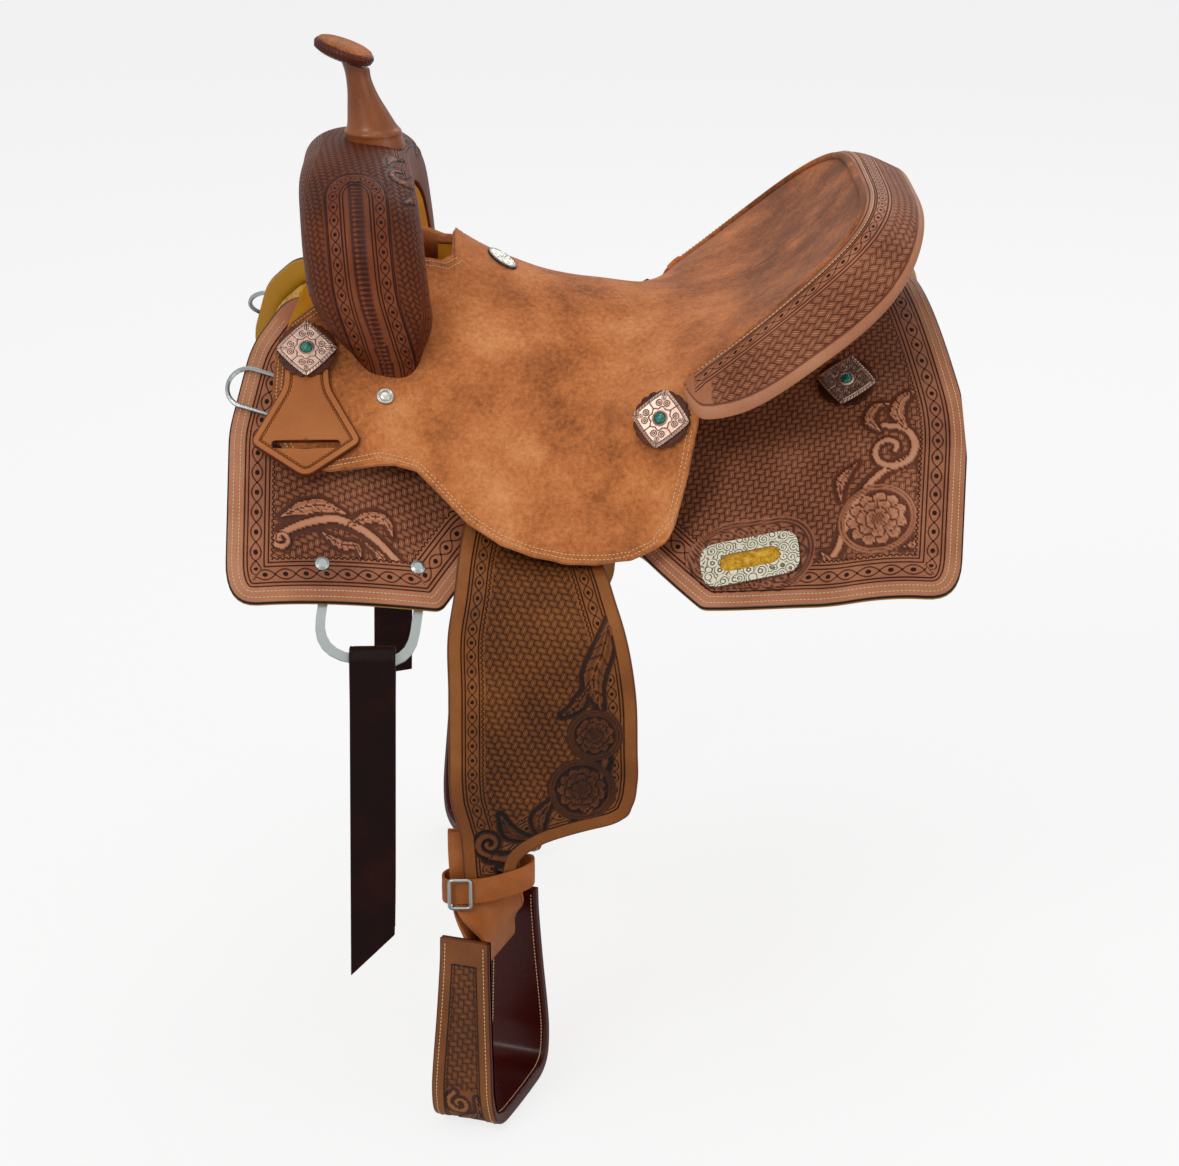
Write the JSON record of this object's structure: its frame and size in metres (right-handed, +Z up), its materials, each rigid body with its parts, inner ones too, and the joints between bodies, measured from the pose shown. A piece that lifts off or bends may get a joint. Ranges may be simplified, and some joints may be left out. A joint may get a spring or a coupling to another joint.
{
  "type": "barrel racing saddle",
  "caption": "Western barrel racing saddle: tooled skirts, fork, horn and high cantle, rough-out seat, fenders that swing with stirrups, rigging dees and latigo.",
  "frame": {"origin": "on the centre plane, where the middle of the saddle rests over the horse's back", "axes": "+Z up, -X to the horse's head, -Y to the near side (the rider's left)"},
  "size_m": [0.6252, 0.6876, 0.8764],
  "materials": {
    "tree_wood": "bare sanded wood",
    "tooled_leather": "carved and stamped, oiled, dark in the cuts",
    "rough_out_leather": "napped flesh side out",
    "plain_leather": "smooth, oiled",
    "rosette_leather": "smooth, dark dyed",
    "latigo_leather": "burgundy, waxed",
    "fleece": "golden synthetic fleece",
    "silver_plate": "engraved, darkened in the cuts",
    "antique_copper": "engraved, aged, with a turquoise cabochon",
    "steel": "nickel plated"
  },
  "bodies": {
    "saddle": {"tree_bar_left": "tree_wood", "tree_bar_right": "tree_wood", "fork": "tree_wood", "ground_seat": "tree_wood", "cantle_board": "tree_wood", "fork_cover": "tooled_leather", "cantle_back": "tooled_leather", "cantle_roll": "tooled_leather", "skirt_left": "tooled_leather", "skirt_right": "tooled_leather", "seat_leather": "rough_out_leather", "horn_cap": "rough_out_leather", "horn_wrap": "plain_leather", "latigo_keeper_left": "plain_leather", "latigo_keeper_right": "plain_leather", "rosette_front_left": "rosette_leather", "rosette_front_right": "rosette_leather", "rosette_middle_left": "rosette_leather", "rosette_middle_right": "rosette_leather", "rosette_rear_left": "rosette_leather", "rosette_rear_right": "rosette_leather", "fleece_left": "fleece", "fleece_right": "fleece", "gullet_lining": "fleece", "cinch_plate_left": "silver_plate", "cinch_plate_right": "silver_plate", "seat_button_left": "silver_plate", "seat_button_right": "silver_plate", "seat_badge": "silver_plate", "concho_front_left": "antique_copper", "concho_front_right": "antique_copper", "concho_middle_left": "antique_copper", "concho_middle_right": "antique_copper", "concho_rear_left": "antique_copper", "concho_rear_right": "antique_copper", "horn_core": "steel", "rigging_dee_left": "steel", "rigging_dee_right": "steel", "rivet_front_left": "steel", "rivet_front_right": "steel", "rivet_rear_left": "steel", "rivet_rear_right": "steel"},
    "stirrup_leather_top_left": {"stirrup_leather_top_left": "tooled_leather"},
    "stirrup_leather_top_right": {"stirrup_leather_top_right": "tooled_leather"},
    "fender_left": {"fender_left": "tooled_leather", "stirrup_leather_left": "plain_leather", "hobble_strap_left": "plain_leather", "hobble_buckle_left": "steel"},
    "fender_right": {"fender_right": "tooled_leather", "stirrup_leather_right": "plain_leather", "hobble_strap_right": "plain_leather", "hobble_buckle_right": "steel"},
    "stirrup_left": {"stirrup_left": "plain_leather", "stirrup_bolt_left": "steel"},
    "stirrup_right": {"stirrup_right": "plain_leather", "stirrup_bolt_right": "steel"},
    "latigo": {"latigo": "latigo_leather"},
    "off_billet": {"off_billet": "latigo_leather"},
    "breast_dee_left": {"breast_dee_left": "steel"},
    "breast_dee_right": {"breast_dee_right": "steel"}
  },
  "joints": [
    {"name": "fender_swing_left", "type": "hinge", "parent": "saddle", "child": "stirrup_leather_top_left", "pos_m": [-0.075, -0.147, -0.03], "axis": [0, -0.6723, 0.7403], "range_deg": [-5, 4]},
    {"name": "fender_swing_right", "type": "hinge", "parent": "saddle", "child": "stirrup_leather_top_right", "pos_m": [-0.075, 0.147, -0.03], "axis": [0, -0.6723, -0.7403], "range_deg": [-5, 4]},
    {"name": "fender_lift_left", "type": "hinge", "parent": "stirrup_leather_top_left", "child": "fender_left", "pos_m": [-0.056, -0.232, -0.0975], "axis": [-0.9799, 0.1565, 0.1236], "range_deg": [0, 30]},
    {"name": "fender_lift_right", "type": "hinge", "parent": "stirrup_leather_top_right", "child": "fender_right", "pos_m": [-0.056, 0.232, -0.0975], "axis": [0.9799, 0.1565, -0.1236], "range_deg": [0, 30]},
    {"name": "stirrup_swing_left", "type": "hinge", "parent": "fender_left", "child": "stirrup_left", "pos_m": [-0.092, -0.269, -0.432], "axis": [0.3584, 0.9336, 0], "range_deg": [-40, 40]},
    {"name": "stirrup_swing_right", "type": "hinge", "parent": "fender_right", "child": "stirrup_right", "pos_m": [-0.092, 0.269, -0.432], "axis": [-0.3584, 0.9336, 0], "range_deg": [-40, 40]},
    {"name": "breast_dee_swing_left", "type": "hinge", "parent": "saddle", "child": "breast_dee_left", "pos_m": [-0.26293, -0.14186, 0.01288], "axis": [0.3157, 0.6482, 0.6929], "range_deg": [0, 20]},
    {"name": "breast_dee_swing_right", "type": "hinge", "parent": "saddle", "child": "breast_dee_right", "pos_m": [-0.26293, 0.14186, 0.01288], "axis": [-0.3157, 0.6482, -0.6929], "range_deg": [0, 20]},
    {"name": "latigo_swing", "type": "hinge", "parent": "saddle", "child": "latigo", "pos_m": [-0.19402, -0.28493, -0.16928], "axis": [0.9857, 0, -0.1684], "range_deg": [-60, 3]},
    {"name": "off_billet_swing", "type": "hinge", "parent": "saddle", "child": "off_billet", "pos_m": [-0.19402, 0.28487, -0.16928], "axis": [0.9857, 0, -0.1684], "range_deg": [-3, 60]}
  ]
}
